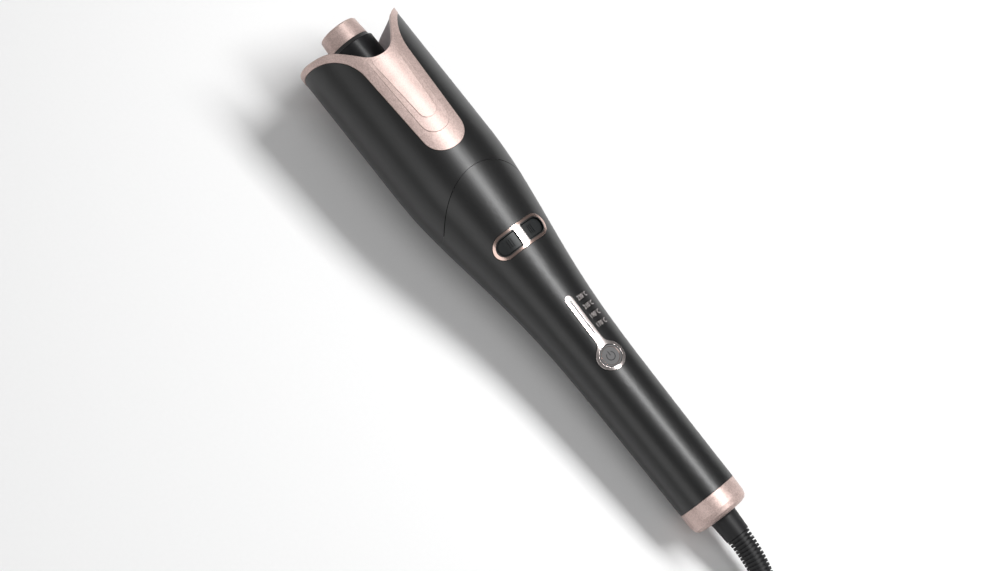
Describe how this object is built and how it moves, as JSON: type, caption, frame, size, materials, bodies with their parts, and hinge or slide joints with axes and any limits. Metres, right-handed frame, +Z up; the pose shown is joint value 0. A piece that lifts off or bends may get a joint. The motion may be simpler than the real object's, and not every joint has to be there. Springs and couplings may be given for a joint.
{
  "type": "automatic hair curler",
  "caption": "Automatic hair curler: a slim handle flares into an open round head whose saddle-shaped rim surrounds a turning heated barrel; buttons, scale and mains cord.",
  "frame": {"origin": "on the surface under the curler lying on its back, at the middle of its bounding box without the cord", "axes": "+X from the head towards the handle's end and the cord, +Z up, the side the controls face, +Y across the handle"},
  "size_m": [0.475, 0.0923, 0.0634],
  "materials": {
    "black_satin": "soft-touch satin",
    "rose_gold": "satin metallic paint",
    "barrel_coating": "black ceramic coating on aluminium",
    "heatproof_plastic": "moulded",
    "key_plastic": "satin",
    "clear_plastic": "clear, diffusing",
    "steel": "machined",
    "aluminium": "cast",
    "ceramic": "glazed",
    "bronze": "sintered",
    "gear_plastic": "moulded acetal",
    "board": "lacquered board",
    "component": "moulded case",
    "rubber": "matt",
    "pin_metal": "nickel plated"
  },
  "bodies": {
    "housing": {"board_screws": "steel", "chamber_floor": "heatproof_plastic", "clamp_screws": "steel", "controller_chip": "component", "cord_clamp": "heatproof_plastic", "cord_coil": "rubber", "cord_lead": "rubber", "cord_tail": "rubber", "cord_tie": "rubber", "direction_bezel": "rose_gold", "end_cap": "rose_gold", "floor_bush": "bronze", "gearbox_base": "heatproof_plastic", "gearbox_cover": "heatproof_plastic", "handle_shell": "black_satin", "head_shell": "black_satin", "head_trim": "rose_gold", "heater_back_half": "aluminium", "heater_base": "ceramic", "heater_crown": "ceramic", "heater_front_half": "aluminium", "heater_leads": "rubber", "heater_plate": "ceramic", "heater_post": "steel", "idler_axle": "steel", "inner_chassis": "heatproof_plastic", "left_tact_switch": "component", "light_pipe": "clear_plastic", "lower_bush": "bronze", "main_board": "board", "mains_capacitor": "component", "motor_can": "steel", "motor_gearbox": "steel", "motor_screws": "steel", "pillar_screws": "steel", "plug_body": "rubber", "plug_pins": "pin_metal", "power_tact_switch": "component", "power_triac": "component", "right_tact_switch": "component", "strain_relief": "rubber", "switch_board": "board", "temperature_lamps": "clear_plastic", "thermal_fuse": "ceramic", "thermistor": "ceramic", "thermometer_bezel": "rose_gold"},
    "barrel": {"barrel_sleeve": "barrel_coating", "barrel_hub": "heatproof_plastic", "winder_collar": "heatproof_plastic", "barrel_tip": "rose_gold", "tip_insulator": "heatproof_plastic", "ring_gear": "gear_plastic", "hub_circlip": "steel"},
    "idler": {"idler_gear": "gear_plastic"},
    "motor_rotor": {"motor_pinion": "gear_plastic", "motor_shaft": "steel"},
    "left_key": {"left_button": "key_plastic"},
    "right_key": {"right_button": "key_plastic"},
    "power_key": {"power_button": "key_plastic"}
  },
  "joints": [
    {"name": "barrel_spin", "type": "hinge", "parent": "housing", "child": "barrel", "pos_m": [-0.07377, 0, 0.03026], "axis": [-0.9981, 0, 0.0618], "continuous": true},
    {"name": "idler_spin", "type": "hinge", "parent": "housing", "child": "idler", "pos_m": [-0.04952, 0.01192, 0.01732], "axis": [-0.9981, 0, 0.0618], "continuous": true},
    {"name": "motor_spin", "type": "hinge", "parent": "housing", "child": "motor_rotor", "pos_m": [-0.04445, 0, 0.01842], "axis": [-0.9981, 0, 0.0618], "continuous": true},
    {"name": "left_button_press", "type": "slide", "parent": "housing", "child": "left_key", "axis": [-0.0618, 0, -0.9981], "range_m": [0, 0.0008], "stiffness_N_per_m": 900, "springref_m": -0.0004},
    {"name": "right_button_press", "type": "slide", "parent": "housing", "child": "right_key", "axis": [-0.0618, 0, -0.9981], "range_m": [0, 0.0008], "stiffness_N_per_m": 900, "springref_m": -0.0004},
    {"name": "power_button_press", "type": "slide", "parent": "housing", "child": "power_key", "axis": [-0.0618, 0, -0.9981], "range_m": [0, 0.0006], "stiffness_N_per_m": 900, "springref_m": -0.0004}
  ],
  "couplings": [
    {"joint": "idler_spin", "follows": "barrel_spin", "ratio": -2.6667},
    {"joint": "motor_spin", "follows": "barrel_spin", "ratio": 4.4444}
  ]
}
